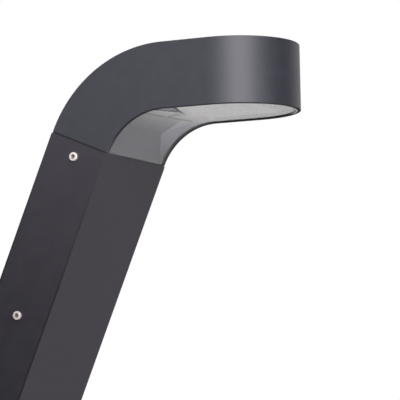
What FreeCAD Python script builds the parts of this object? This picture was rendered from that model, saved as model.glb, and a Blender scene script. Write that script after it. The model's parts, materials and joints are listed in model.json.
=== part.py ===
import FreeCAD, Part
import math
import os
import Sketcher

# Outdoor wall light: a rectangular arm slants up and out from the wall, and a cast head bends over
# from it to the level, ends in a half-round and is closed underneath by a clear window.
# Frame: the wall is the plane x = 0, +X points out from it and +Z up. Sizes are in millimetres.
# The origin is the middle of the arm's mitred foot, between the two wall bolts.

DIMENSIONS = {
    # Head casting
    "head_width": 120,
    "head_depth": 60,
    "head_straight": 45,
    "head_wall": 3,
    "bend_radius": 60,
    "edge_break": 0.5,
    # Ledge inside the rim, above the window
    "rim_recess": 0.8,
    "ledge_width": 4,
    "ledge_height": 4,
    # Window, its seal and its catches
    "window_thick": 1.8,
    "window_seal_width": 1.5,
    "catch_length": 10,
    "catch_width": 2.5,
    "catch_height": 2,
    "catch_gap": 0.05,
    "catch_forward": 2.5,
    # Seam between head and arm
    "joint_step": 0.4,
    "joint_seal_thick": 1,
    "joint_seal_inset": 0.8,
    "spigot_length": 36,
    "spigot_wall": 3.5,
    "spigot_gap": 0.3,
    "collar_height": 8,
    # Arm
    "slant": 23,
    "arm_length": 223,
    "arm_wall": 3,
    "arm_corner": 0.3,
    # Side screws
    "side_screw_diameter": 4,
    "side_screw_length": 10,
    "side_head_diameter": 8,
    "side_head_height": 2.4,
    "side_socket_width": 2.8,
    "side_socket_depth": 1.6,
    "screw_clearance": 0.2,
    "thread_clearance": 0.05,
    "joint_screw_drop": 13,
    "foot_screw_along": 56,
    # Reflector tray
    "tray_thick": 1.2,
    "tray_gap": 0.5,
    "tray_knee_back": 55,
    "tray_knee_up": 54,
    "tray_fold_back": 14,
    "tray_slot_gap": 0.8,
    "tray_boss_width": 8,
    "tray_boss_bore_depth": 12,
    "tray_screw_back": 1,
    "tray_screw_inset": 6.5,
    "tray_screw_diameter": 3,
    "tray_screw_length": 10,
    "tray_head_width": 5.5,
    "tray_head_height": 2,
    # Light source
    "pad_thick": 0.5,
    "board_thick": 1.6,
    "board_start": 4,
    "board_length": 70,
    "board_width": 80,
    "emitter_length": 3.5,
    "emitter_width": 2.8,
    "emitter_height": 0.8,
    "emitter_pitch_long": 16,
    "emitter_pitch_wide": 18,
    "connector_length": 8,
    "connector_width": 10,
    "connector_height": 3.2,
    "led_cable_width": 4,
    "led_cable_thick": 2.2,
    "led_cable_side": 6,
    "led_cable_bend": 26,
    "led_cable_start_side": -30,
    "led_cable_rise": 20,
    "led_cable_low": 90,
    "led_cable_high": 170,
    # Wall bracket and its seal
    "wall_seal_thick": 2,
    "wall_seal_inset": 0.8,
    "bracket_thick": 2,
    "bracket_gap": 0.3,
    "bracket_fold": 1,
    "ear_reach": 32,
    "ear_height": 28,
    "ear_corner": 6,
    "nut_width": 7,
    "nut_height": 3.2,
    "wall_bolt_spacing": 90,
    "wall_bolt_hole": 5.5,
    # Cable entry
    "cable_drop": 22,
    "gland_diameter": 16,
    "gland_clearance": 0.1,
    "gland_head_width": 20,
    "gland_head_height": 6,
    "gland_bore": 9,
    # Driver
    "driver_width": 80,
    "driver_height": 36,
    "driver_depth": 22,
    "driver_rise": 14,
    "driver_corner": 3,
    # Terminals
    "terminal_pitch": 10,
    "terminal_height": 20,
    "terminal_depth": 14,
    "terminal_ear_gap": 9,
    "terminal_entry": 6.5,
    "lead_diameter": 2.2,
    "lead_clearance": 0.3,
    "lead_insert": 5,
    "earth_tab_width": 6.3,
    "earth_tab_thick": 0.8,
    "earth_tab_base": 7,
    "earth_tab_gap": 4,
    "earth_tab_drop": 1,
}

# Places worked out from the dimensions
PLACES = {
    "lean_sin": "sin(Dim.slant)",
    "lean_cos": "cos(Dim.slant)",
    "lean_cot": "1 / tan(Dim.slant)",
    # Arm section, and the same section where the wall cuts it
    "arm_width": "Dim.head_width + 2 * Dim.joint_step",
    "arm_depth": "Dim.head_depth + 2 * Dim.joint_step",
    "arm_inner_width": "arm_width - 2 * Dim.arm_wall",
    "arm_inner_depth": "arm_depth - 2 * Dim.arm_wall",
    "foot_middle": "Dim.wall_seal_thick * lean_cot",
    "foot_half": "arm_depth / 2 / lean_sin",
    "foot_inner_half": "arm_inner_depth / 2 / lean_sin",
    # Head: joint face, bend centre, underside and half-round end
    "joint_along": "Dim.arm_length + Dim.joint_seal_thick",
    "joint_x": "joint_along * lean_sin",
    "joint_z": "joint_along * lean_cos",
    "bend_middle": "Dim.bend_radius + Dim.head_depth / 2",
    "bend_outer": "Dim.bend_radius + Dim.head_depth",
    "bend_x": "joint_x + bend_middle * lean_cos",
    "bend_z": "joint_z - bend_middle * lean_sin",
    "under_z": "bend_z + Dim.bend_radius",
    "round_x": "bend_x + Dim.head_straight",
    "head_inner_half": "Dim.head_width / 2 - Dim.head_wall",
    "ceiling": "Dim.head_depth - Dim.head_wall",
    # Heights above the head's underside
    "window_top": "Dim.rim_recess + Dim.window_thick",
    "ledge_top": "window_top + Dim.ledge_height",
    "tray_top": "ledge_top + Dim.tray_thick",
    "pad_bottom": "ledge_top - Dim.pad_thick",
    "board_bottom": "pad_bottom - Dim.board_thick",
    "cable_height": "ledge_top - Dim.connector_height / 2",
    # Half-widths of what fits inside the head
    "window_half": "head_inner_half - Dim.window_seal_width",
    "ledge_half": "head_inner_half - Dim.ledge_width",
    "tray_half": "ledge_half - Dim.tray_gap",
    "tray_screw_side": "tray_half - Dim.tray_screw_inset",
    # Spigot section
    "spigot_width": "arm_inner_width - 2 * Dim.spigot_gap",
    "spigot_depth": "arm_inner_depth - 2 * Dim.spigot_gap",
    "spigot_inner_width": "spigot_width - 2 * Dim.spigot_wall",
    "spigot_inner_depth": "spigot_depth - 2 * Dim.spigot_wall",
    # Side screws
    "joint_screw_along": "Dim.arm_length - Dim.joint_screw_drop",
    "joint_screw_x": "joint_screw_along * lean_sin",
    "joint_screw_z": "joint_screw_along * lean_cos",
    "foot_screw_x": "Dim.foot_screw_along * lean_sin",
    "foot_screw_z": "Dim.foot_screw_along * lean_cos",
    # Folds of the reflector tray
    "tray_foot_radius": "Dim.bend_radius + window_top + Dim.tray_gap",
    "tray_foot_x": "bend_x - tray_foot_radius * lean_cos + Dim.tray_gap * lean_sin",
    "tray_foot_z": "bend_z + tray_foot_radius * lean_sin + Dim.tray_gap * lean_cos",
    "tray_knee_x": "bend_x - Dim.tray_knee_back",
    "tray_knee_z": "bend_z + Dim.tray_knee_up",
    "tray_fold_x": "bend_x - Dim.tray_fold_back",
    "tray_z": "under_z + ledge_top",
    "tray_rise": "atan2(tray_knee_z - tray_foot_z; tray_knee_x - tray_foot_x)",
    "tray_slope": "atan2(tray_z - tray_knee_z; tray_fold_x - tray_knee_x)",
    "tray_knee_turn": "(tray_rise + tray_slope) / 2",
    "tray_knee_miter": "Dim.tray_thick / cos((tray_rise - tray_slope) / 2)",
    "tray_fold_miter": "Dim.tray_thick / cos(tray_slope / 2)",
    # Slot where the lead passes through the tray's slope
    "tray_slot_rise": "(Dim.connector_height + Dim.led_cable_thick) / 2",
    "tray_slot_run": "tray_slot_rise / tan(tray_slope) + Dim.tray_thick / sin(tray_slope)",
    "tray_slot_back": "tray_slot_run + Dim.tray_slot_gap",
    "tray_slot_half": "Dim.led_cable_width / 2 + Dim.tray_slot_gap",
    # Light source
    "board_x": "bend_x + Dim.board_start",
    "board_middle": "board_x + Dim.board_length / 2",
    "connector_x": "board_x - Dim.connector_length",
    # Bracket
    "ear_half": "arm_inner_width / 2 - Dim.bracket_gap",
    "plate_low": "Dim.bracket_thick * lean_cot - foot_inner_half + Dim.bracket_gap / lean_sin",
    "plate_high": "foot_middle + foot_inner_half - Dim.bracket_gap / lean_sin",
    "driver_top": "Dim.driver_rise + Dim.driver_height / 2",
    "earth_tab_z": "plate_high - Dim.earth_tab_drop - Dim.earth_tab_base",
    "terminal_high": "earth_tab_z - Dim.earth_tab_gap",
    "terminal_low": "terminal_high - Dim.terminal_height",
    "terminal_edge": "ear_half - Dim.bracket_thick - Dim.terminal_ear_gap",
    "terminal_entry_x": "Dim.bracket_thick + Dim.terminal_entry",
    "driver_cable_x": "driver_top / lean_cot",
}

TERMINAL_POLES = (0, 1, 2)
NEUTRAL_POLE, LIVE_POLE, EARTH_POLE = TERMINAL_POLES
EMITTER_ROWS = (-1.5, -0.5, 0.5, 1.5)
EMITTER_COLUMNS = (-1.5, -0.5, 0.5, 1.5)
SIDES = (-1, 1)
PARALLEL = 0.001

doc = FreeCAD.newDocument("WallLight")
nodes = []


# Sheets

def fill_sheet(name, cells):
    """Make a sheet with one named cell for each entry."""
    sheet = doc.addObject("Spreadsheet::Sheet", name)
    for row, (alias, content) in enumerate(cells.items(), start=1):
        sheet.set(f"A{row}", alias)
        sheet.set(f"B{row}", content)
        sheet.setAlias(f"B{row}", alias)
    return sheet


fill_sheet("Dim", {alias: str(size) for alias, size in DIMENSIONS.items()})
fill_sheet("At", {alias: "=" + formula for alias, formula in PLACES.items()})
trial = doc.addObject("Spreadsheet::Sheet", "Trial")
doc.recompute()


def number(formula):
    """Value of a formula, used to draw a sketch close to its final place."""
    trial.set("A1", "=" + formula)
    trial.recompute()
    return float(trial.get("A1"))


def vector(formulas):
    """Point in space from three formulas."""
    return FreeCAD.Vector(*[number(formula) for formula in formulas])


# Sketches

def new_body(label):
    """Body for one piece."""
    body = doc.addObject("PartDesign::Body", label)
    body.Label = label
    return body


def sketch_on(body, role, offset="0"):
    """Sketch on one of the body's origin planes, moved along the plane's normal."""
    planes = [plane for plane in body.Origin.OriginFeatures if plane.Role == role]
    sketch = body.newObject("Sketcher::SketchObject", "Sketch")
    sketch.AttachmentSupport = [(planes[0], "")]
    sketch.MapMode = "FlatFace"
    sketch.setExpression("AttachmentOffset.Base.z", offset)
    return sketch


def sketch_at_joint(body):
    """Sketch square to the arm at the head's joint face, with its x axis towards the front."""
    sketch = sketch_on(body, "XY_Plane", "At.joint_z")
    sketch.AttachmentOffset = FreeCAD.Placement(
        FreeCAD.Vector(), FreeCAD.Rotation(FreeCAD.Vector(0, 1, 0), 1))
    sketch.setExpression("AttachmentOffset.Base.x", "At.joint_x")
    sketch.setExpression("AttachmentOffset.Rotation.Angle", "Dim.slant")
    return sketch


def tie(sketch, axis, geometry, position, formula):
    """Fix one coordinate of a sketch point by a formula."""
    value = number(formula)
    index = sketch.addConstraint(Sketcher.Constraint("Distance" + axis, -1, 1, geometry, position, value))
    sketch.setExpression(f"Constraints[{index}]", formula)


def arc_between(begin, finish, middle, turn):
    """Arc about a centre; turn is 1 for anticlockwise and -1 for clockwise."""
    circle = Part.Circle(middle, FreeCAD.Vector(0, 0, 1), middle.distanceToPoint(begin))
    first, last = (begin, finish) if turn > 0 else (finish, begin)
    return Part.ArcOfCircle(circle, circle.parameter(first), circle.parameter(last))


def draw_loop(sketch, corners):
    """Closed outline. A corner is (x, y), or (x, y, centre x, centre y, turn) where an arc starts."""
    points = [FreeCAD.Vector(number(corner[0]), number(corner[1]), 0) for corner in corners]
    count = len(corners)
    sides = []
    for index, corner in enumerate(corners):
        begin = points[index]
        finish = points[(index + 1) % count]
        if len(corner) == 2:
            side = sketch.addGeometry(Part.LineSegment(begin, finish))
            sides.append((side, 1, 2))
            continue
        middle = FreeCAD.Vector(number(corner[2]), number(corner[3]), 0)
        side = sketch.addGeometry(arc_between(begin, finish, middle, corner[4]))
        sides.append((side, 1, 2) if corner[4] > 0 else (side, 2, 1))
    for index, corner in enumerate(corners):
        side, start, end = sides[index]
        next_side, next_start, _ = sides[(index + 1) % count]
        sketch.addConstraint(Sketcher.Constraint("Coincident", side, end, next_side, next_start))
        tie(sketch, "X", side, start, corner[0])
        tie(sketch, "Y", side, start, corner[1])
        if len(corner) > 2:
            chord = points[(index + 1) % count] - points[index]
            if abs(chord.y) > abs(chord.x):
                tie(sketch, "X", side, 3, corner[2])
            else:
                tie(sketch, "Y", side, 3, corner[3])


def draw_rectangle(sketch, low_x, low_y, high_x, high_y):
    """Rectangle between two corners."""
    draw_loop(sketch, [(low_x, low_y), (high_x, low_y), (high_x, high_y), (low_x, high_y)])


def draw_round_rectangle(sketch, low, high, radius):
    """Rectangle between two corners, given as (x, y), with rounded corners."""
    (low_x, low_y), (high_x, high_y) = low, high
    inner_low_x = f"{low_x} + {radius}"
    inner_low_y = f"{low_y} + {radius}"
    inner_high_x = f"{high_x} - {radius}"
    inner_high_y = f"{high_y} - {radius}"
    draw_loop(sketch, [
        (inner_low_x, low_y),
        (inner_high_x, low_y, inner_high_x, inner_low_y, 1),
        (high_x, inner_low_y),
        (high_x, inner_high_y, inner_high_x, inner_high_y, 1),
        (inner_high_x, high_y),
        (inner_low_x, high_y, inner_low_x, inner_high_y, 1),
        (low_x, inner_high_y),
        (low_x, inner_low_y, inner_low_x, inner_low_y, 1),
    ])


def draw_middle_rectangle(sketch, width, height):
    """Rectangle about the sketch's own origin."""
    draw_rectangle(sketch, f"-({width}) / 2", f"-({height}) / 2", f"({width}) / 2", f"({height}) / 2")


def draw_circle(sketch, x, y, diameter):
    """Circle tied to its centre and diameter."""
    middle = FreeCAD.Vector(number(x), number(y), 0)
    size = number(diameter)
    circle = sketch.addGeometry(Part.Circle(middle, FreeCAD.Vector(0, 0, 1), size / 2))
    tie(sketch, "X", circle, 3, x)
    tie(sketch, "Y", circle, 3, y)
    index = sketch.addConstraint(Sketcher.Constraint("Diameter", circle, size))
    sketch.setExpression(f"Constraints[{index}]", diameter)


def draw_hexagon(sketch, width):
    """Hexagon about the sketch's own origin, by its width across flats."""
    reach = f"{width} / sqrt(3)"
    draw_loop(sketch, [(f"{reach} * cos({60 * step})", f"{reach} * sin({60 * step})") for step in range(6)])


# Features

def extrude(body, kind, sketch, length, symmetric=False, backwards=False):
    """Pad or Pocket of a sketch."""
    feature = body.newObject("PartDesign::" + kind, kind)
    feature.Profile = sketch
    feature.setExpression("Length", length)
    if symmetric:
        feature.SideType = "Symmetric"
    feature.Reversed = backwards
    return feature


def dress_edges(body, kind, chosen, size):
    """Fillet or Chamfer on the edges of the body's last feature that a test picks."""
    doc.recompute()
    base = body.Tip
    names = [f"Edge{place}" for place, edge in enumerate(base.Shape.Edges, start=1) if chosen(edge)]
    dressing = body.newObject("PartDesign::" + kind, kind)
    dressing.Base = (base, names)
    dressing.setExpression({"Fillet": "Radius", "Chamfer": "Size"}[kind], size)
    return dressing


def runs_along(edge, direction):
    """True for a straight edge that is parallel to a direction."""
    if edge.Curve.TypeId != "Part::GeomLine":
        return False
    return edge.Curve.Direction.cross(FreeCAD.Vector(*direction)).Length < PARALLEL


def place_body(body, x, y, z, axis=(0, 0, 1), angle="0"):
    """Placement of a body from formulas: its position, and its turn about an axis."""
    turn = FreeCAD.Rotation(FreeCAD.Vector(*axis), 1)
    body.Placement = FreeCAD.Placement(FreeCAD.Vector(), turn)
    body.setExpression("Placement.Base.x", x)
    body.setExpression("Placement.Base.y", y)
    body.setExpression("Placement.Base.z", z)
    body.setExpression("Placement.Rotation.Angle", angle)


def keep(piece):
    """Add a finished piece to the list of nodes."""
    nodes.append(piece)
    return piece


def keep_group(label, pieces):
    """Node that holds several separate solids."""
    group = doc.addObject("Part::Compound", label)
    group.Label = label
    group.Links = pieces
    return keep(group)


# Outlines that the head, the window, its seal and the tray share

def joint_point(radius, above="0"):
    """Point in the joint plane at a distance from the bend's centre, moved up along the arm."""
    x = f"At.bend_x - ({radius}) * At.lean_cos + ({above}) * At.lean_sin"
    z = f"At.bend_z + ({radius}) * At.lean_sin + ({above}) * At.lean_cos"
    return x, z


def draw_slot(sketch, left, half):
    """Plan outline: straight sides from the left, then the half-round end."""
    draw_loop(sketch, [
        (left, f"-({half})"),
        ("At.round_x", f"-({half})", "At.round_x", "0", 1),
        ("At.round_x", half),
        (left, half),
    ])


def draw_bend(sketch, low, high, right):
    """Side outline from the joint round the bend and on to the right, between two heights."""
    inner = f"Dim.bend_radius + {low}"
    outer = f"Dim.bend_radius + {high}"
    centre = ("At.bend_x", "At.bend_z")
    inner_z = f"At.under_z + {low}"
    outer_z = f"At.under_z + {high}"
    draw_loop(sketch, [
        (*joint_point(inner), *centre, -1),
        ("At.bend_x", inner_z),
        (right, inner_z),
        (right, outer_z),
        ("At.bend_x", outer_z, *centre, 1),
        joint_point(outer),
    ])


def round_end(body, half):
    """Cut away what lies outside the half-round end."""
    sketch = sketch_on(body, "XY_Plane", "At.under_z")
    far_x = "At.round_x + Dim.head_width"
    far_y = "Dim.head_width"
    draw_loop(sketch, [
        ("At.round_x", half, "At.round_x", "0", -1),
        ("At.round_x", f"-({half})"),
        ("At.round_x", f"-{far_y}"),
        (far_x, f"-{far_y}"),
        (far_x, far_y),
        ("At.round_x", far_y),
    ])
    return extrude(body, "Pocket", sketch, "4 * At.bend_outer", symmetric=True)


def strip_body(label, low, high, half):
    """Strip along the head's underside, from the joint to the half-round end."""
    body = new_body(label)
    sketch = sketch_on(body, "XZ_Plane")
    draw_bend(sketch, low, high, f"At.round_x + {half}")
    extrude(body, "Pad", sketch, f"2 * ({half})", symmetric=True)
    round_end(body, half)
    return body


def hollow_strip(body, half):
    """Take the middle out of a strip and leave its border."""
    sketch = sketch_on(body, "XY_Plane", "At.under_z")
    draw_slot(sketch, "At.bend_x - At.bend_outer", half)
    return extrude(body, "Pocket", sketch, "4 * At.bend_outer", symmetric=True)


# Head casting

def cut_cavity(body, half, low, high):
    """Hollow between two heights above the underside: the level part, then the bend."""
    sketch = sketch_on(body, "XY_Plane", f"At.under_z + {low}")
    draw_slot(sketch, "At.bend_x", half)
    extrude(body, "Pocket", sketch, f"{high} - ({low})", backwards=True)
    inner = f"Dim.bend_radius + {low}"
    outer = f"Dim.bend_radius + {high}"
    inner_z = f"At.under_z + {low}"
    outer_z = f"At.under_z + {high}"
    right = "At.bend_x + Dim.head_wall"
    below = "-Dim.head_wall"
    centre = ("At.bend_x", "At.bend_z")
    sketch = sketch_on(body, "XZ_Plane")
    draw_loop(sketch, [
        joint_point(inner, below),
        joint_point(outer, below),
        (*joint_point(outer), *centre, -1),
        ("At.bend_x", outer_z),
        (right, outer_z),
        (right, inner_z),
        ("At.bend_x", inner_z, *centre, 1),
        joint_point(inner),
    ])
    extrude(body, "Pocket", sketch, f"2 * ({half})", symmetric=True)


def add_spigot(body):
    """Spigot that goes down into the arm, and the collar that joins it to the head's walls."""
    sketch = sketch_at_joint(body)
    draw_middle_rectangle(sketch, "At.spigot_depth", "At.spigot_width")
    draw_middle_rectangle(sketch, "At.spigot_inner_depth", "At.spigot_inner_width")
    extrude(body, "Pad", sketch, "Dim.joint_seal_thick + Dim.spigot_length", backwards=True)
    sketch = sketch_at_joint(body)
    front = "Dim.head_depth / 2 - At.window_top"
    back = "-Dim.head_depth / 2 + Dim.head_wall / 2"
    inner_back = "-At.spigot_inner_depth / 2"
    outer_side = "At.head_inner_half + Dim.head_wall / 2"
    inner_side = "At.spigot_inner_width / 2"
    draw_loop(sketch, [
        (front, f"-({outer_side})"),
        (front, f"-{inner_side}"),
        (inner_back, f"-{inner_side}"),
        (inner_back, inner_side),
        (front, inner_side),
        (front, outer_side),
        (back, outer_side),
        (back, f"-({outer_side})"),
    ])
    extrude(body, "Pad", sketch, "Dim.collar_height")


def bore_spigot(body):
    """Threaded holes in the spigot's two sides for the upper side screws."""
    sketch = sketch_on(body, "XZ_Plane")
    bore = "Dim.side_screw_diameter + 2 * Dim.thread_clearance"
    draw_circle(sketch, "At.joint_screw_x", "At.joint_screw_z", bore)
    extrude(body, "Pocket", sketch, "2 * Dim.head_width", symmetric=True)


def tray_screw_places():
    """Plan places of the screws that hold the tray."""
    back = "At.bend_x - Dim.tray_screw_back"
    forward = "At.round_x + At.tray_screw_side"
    return [(back, "-At.tray_screw_side"), (back, "At.tray_screw_side"), (forward, "0")]


def add_tray_bosses(body):
    """Square bosses from the ceiling down to the tray, bored for its screws."""
    sketch = sketch_on(body, "XY_Plane", "At.under_z + At.tray_top")
    half = "Dim.tray_boss_width / 2"
    for x, y in tray_screw_places():
        draw_rectangle(sketch, f"{x} - {half}", f"{y} - {half}", f"{x} + {half}", f"{y} + {half}")
    extrude(body, "Pad", sketch, "At.ceiling + Dim.head_wall / 2 - At.tray_top")
    sketch = sketch_on(body, "XY_Plane", "At.under_z + At.tray_top")
    for x, y in tray_screw_places():
        draw_circle(sketch, x, y, "Dim.tray_screw_diameter + 2 * Dim.thread_clearance")
    extrude(body, "Pocket", sketch, "Dim.tray_boss_bore_depth", backwards=True)


def is_rim_edge(edge):
    """Edge of the outer form: an arc, or a straight stretch along X, that is not the joint face's."""
    return not any(runs_along(edge, line) for line in ((0, 0, 1), (0, 1, 0), joint_line()))


def joint_line():
    """Direction of the joint face's side edges."""
    return number("At.lean_cos"), 0, -number("At.lean_sin")


def make_head_housing():
    """Cast head: bent outer form, hollow with a ledge for the window, spigot and bosses."""
    body = new_body("head_housing")
    sketch = sketch_on(body, "XZ_Plane")
    draw_bend(sketch, "0", "Dim.head_depth", "At.round_x + Dim.head_width / 2")
    extrude(body, "Pad", sketch, "Dim.head_width", symmetric=True)
    round_end(body, "Dim.head_width / 2")
    dress_edges(body, "Chamfer", is_rim_edge, "Dim.edge_break")
    cut_cavity(body, "At.ledge_half", "-Dim.head_wall", "At.ceiling")
    cut_cavity(body, "At.head_inner_half", "-Dim.head_wall", "At.window_top")
    cut_cavity(body, "At.head_inner_half", "At.ledge_top", "At.ceiling")
    add_spigot(body)
    bore_spigot(body)
    add_tray_bosses(body)
    return keep(body)


# Window

def make_window():
    """Clear cover set back from the rim."""
    return keep(strip_body("window", "Dim.rim_recess", "At.window_top", "At.window_half"))


def make_window_gasket():
    """Seal between the window's edge and the rim, along both sides and round the end."""
    body = strip_body("window_gasket", "0", "At.window_top", "At.head_inner_half")
    hollow_strip(body, "At.window_half")
    return keep(body)


def make_window_catches():
    """Pair of catches on the window that press against the inner face of the ledge."""
    half = "At.ledge_half - Dim.catch_gap"
    strip = strip_body("catch_strip", "At.window_top", "At.window_top + Dim.catch_height", half)
    hollow_strip(strip, f"{half} - Dim.catch_width")
    stretch = doc.addObject("Part::Box", "catch_stretch")
    stretch.setExpression("Length", "Dim.catch_length")
    stretch.setExpression("Width", "Dim.head_width")
    stretch.setExpression("Height", "Dim.head_depth")
    stretch.setExpression("Placement.Base.x", "At.round_x + Dim.catch_forward - Dim.catch_length / 2")
    stretch.setExpression("Placement.Base.y", "-Dim.head_width / 2")
    stretch.setExpression("Placement.Base.z", "At.under_z")
    pair = doc.addObject("Part::Common", "window_catches")
    pair.Label = "window_catches"
    pair.Base = strip
    pair.Tool = stretch
    return keep(pair)


# Arm and its seal

def lean_body(body):
    """Tilt a body made along +Z to the arm's slant."""
    place_body(body, "0", "0", "0", (0, 1, 0), "Dim.slant")


def make_arm_tube():
    """Extruded arm, cut off along the wall and drilled for the side screws."""
    body = new_body("arm_tube")
    lean_body(body)
    reach = "At.foot_half"
    sketch = sketch_on(body, "XY_Plane", f"-{reach}")
    low = ("-At.arm_depth / 2", "-At.arm_width / 2")
    high = ("At.arm_depth / 2", "At.arm_width / 2")
    draw_round_rectangle(sketch, low, high, "Dim.arm_corner")
    draw_middle_rectangle(sketch, "At.arm_inner_depth", "At.arm_inner_width")
    extrude(body, "Pad", sketch, f"Dim.arm_length + {reach}")
    sketch = sketch_on(body, "XZ_Plane")
    high = "(Dim.wall_seal_thick + At.arm_depth * At.lean_cos) / At.lean_sin"
    low = "(Dim.wall_seal_thick - At.arm_depth * At.lean_cos) / At.lean_sin"
    draw_loop(sketch, [("-At.arm_depth", high), ("-At.arm_depth", low), ("At.arm_depth", low)])
    extrude(body, "Pocket", sketch, "2 * At.arm_width", symmetric=True)
    sketch = sketch_on(body, "XZ_Plane")
    for along in ("At.joint_screw_along", "Dim.foot_screw_along"):
        draw_circle(sketch, "0", along, "Dim.side_screw_diameter + 2 * Dim.screw_clearance")
    extrude(body, "Pocket", sketch, "2 * At.arm_width", symmetric=True)
    return keep(body)


def make_joint_gasket():
    """Flat ring in the seam, set in a little from the arm's face."""
    body = new_body("joint_gasket")
    lean_body(body)
    sketch = sketch_on(body, "XY_Plane", "Dim.arm_length")
    depth = "At.arm_depth - 2 * Dim.joint_seal_inset"
    width = "At.arm_width - 2 * Dim.joint_seal_inset"
    draw_middle_rectangle(sketch, depth, width)
    draw_middle_rectangle(sketch, "At.arm_inner_depth", "At.arm_inner_width")
    extrude(body, "Pad", sketch, "Dim.joint_seal_thick")
    return keep(body)


# Screws

def side_screw_body():
    """Side screw on its own axis: round head above z = 0 with a hexagon socket, and shank below."""
    body = new_body("side_screw")
    sketch = sketch_on(body, "XY_Plane")
    draw_circle(sketch, "0", "0", "Dim.side_head_diameter")
    extrude(body, "Pad", sketch, "Dim.side_head_height")
    sketch = sketch_on(body, "XY_Plane")
    draw_circle(sketch, "0", "0", "Dim.side_screw_diameter")
    extrude(body, "Pad", sketch, "Dim.side_screw_length", backwards=True)
    sketch = sketch_on(body, "XY_Plane", "Dim.side_head_height")
    draw_hexagon(sketch, "Dim.side_socket_width")
    extrude(body, "Pocket", sketch, "Dim.side_socket_depth")
    return body


def make_side_screws(label, x, z):
    """Pair of screws that go in from the arm's two sides."""
    screws = []
    for side in SIDES:
        screw = side_screw_body()
        place_body(screw, x, f"{side} * At.arm_width / 2", z, (1, 0, 0), str(-90 * side))
        screws.append(screw)
    return keep_group(label, screws)


def make_tray_screws():
    """Hexagon-head screws, heads down, that hold the tray to the bosses in the head."""
    screws = []
    for x, y in tray_screw_places():
        body = new_body("tray_screw")
        sketch = sketch_on(body, "XY_Plane")
        draw_hexagon(sketch, "Dim.tray_head_width")
        extrude(body, "Pad", sketch, "Dim.tray_head_height")
        sketch = sketch_on(body, "XY_Plane")
        draw_circle(sketch, "0", "0", "Dim.tray_screw_diameter")
        extrude(body, "Pad", sketch, "Dim.tray_screw_length", backwards=True)
        place_body(body, x, y, "At.tray_z", (1, 0, 0), "180")
        screws.append(body)
    return keep_group("tray_screws", screws)


# Reflector and light source

def draw_tray_cheek(sketch):
    """Side outline below the tray's slopes, down to just above the window."""
    draw_loop(sketch, [
        ("At.tray_foot_x", "At.tray_foot_z"),
        ("At.tray_knee_x", "At.tray_knee_z"),
        ("At.tray_fold_x", "At.tray_z"),
        ("At.bend_x", "At.tray_z"),
        ("At.bend_x", "At.bend_z + At.tray_foot_radius", "At.bend_x", "At.bend_z", 1),
    ])


def make_reflector_tray():
    """Folded sheet: up from the joint, over a slope, then level, with cheeks beside the slope."""
    body = new_body("reflector_tray")
    sketch = sketch_on(body, "XZ_Plane")
    draw_loop(sketch, [
        ("At.tray_foot_x", "At.tray_foot_z"),
        ("At.tray_knee_x", "At.tray_knee_z"),
        ("At.tray_fold_x", "At.tray_z"),
        ("At.round_x + At.tray_half", "At.tray_z"),
        ("At.round_x + At.tray_half", "At.tray_z + Dim.tray_thick"),
        ("At.tray_fold_x - At.tray_fold_miter * sin(At.tray_slope / 2)",
         "At.tray_z + At.tray_fold_miter * cos(At.tray_slope / 2)"),
        ("At.tray_knee_x - At.tray_knee_miter * sin(At.tray_knee_turn)",
         "At.tray_knee_z + At.tray_knee_miter * cos(At.tray_knee_turn)"),
        ("At.tray_foot_x - Dim.tray_thick * sin(At.tray_rise)",
         "At.tray_foot_z + Dim.tray_thick * cos(At.tray_rise)"),
    ])
    extrude(body, "Pad", sketch, "2 * At.tray_half", symmetric=True)
    for kind, half in (("Pad", "At.tray_half"), ("Pocket", "(At.tray_half - Dim.tray_thick)")):
        sketch = sketch_on(body, "XZ_Plane")
        draw_tray_cheek(sketch)
        extrude(body, kind, sketch, f"2 * {half}", symmetric=True)
    round_end(body, "At.tray_half")
    sketch = sketch_on(body, "XY_Plane", "At.tray_z")
    for x, y in tray_screw_places():
        draw_circle(sketch, x, y, "Dim.tray_screw_diameter + 2 * Dim.screw_clearance")
    extrude(body, "Pocket", sketch, "4 * Dim.tray_thick", symmetric=True)
    sketch = sketch_on(body, "XY_Plane", "At.tray_z")
    draw_rectangle(sketch, "At.tray_fold_x - At.tray_slot_back", "Dim.led_cable_side - At.tray_slot_half",
                   "At.tray_fold_x + Dim.tray_slot_gap", "Dim.led_cable_side + At.tray_slot_half")
    extrude(body, "Pocket", sketch, "4 * At.tray_slot_back", symmetric=True)
    return keep(body)


def make_flat(label, bottom, thick):
    """Rectangular sheet of the board's outline, at a height above the underside."""
    sheet = doc.addObject("Part::Box", label)
    sheet.Label = label
    sheet.setExpression("Length", "Dim.board_length")
    sheet.setExpression("Width", "Dim.board_width")
    sheet.setExpression("Height", thick)
    sheet.setExpression("Placement.Base.x", "At.board_x")
    sheet.setExpression("Placement.Base.y", "-Dim.board_width / 2")
    sheet.setExpression("Placement.Base.z", f"At.under_z + {bottom}")
    return keep(sheet)


def make_led_emitters():
    """Grid of flat emitters on the board's lower face."""
    emitters = []
    for row in EMITTER_ROWS:
        for column in EMITTER_COLUMNS:
            emitter = doc.addObject("Part::Box", "emitter")
            emitter.setExpression("Length", "Dim.emitter_length")
            emitter.setExpression("Width", "Dim.emitter_width")
            emitter.setExpression("Height", "Dim.emitter_height")
            x = f"At.board_middle + {column} * Dim.emitter_pitch_long - Dim.emitter_length / 2"
            y = f"{row} * Dim.emitter_pitch_wide - Dim.emitter_width / 2"
            emitter.setExpression("Placement.Base.x", x)
            emitter.setExpression("Placement.Base.y", y)
            emitter.setExpression("Placement.Base.z", "At.under_z + At.board_bottom - Dim.emitter_height")
            emitters.append(emitter)
    return keep_group("led_emitters", emitters)


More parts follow.
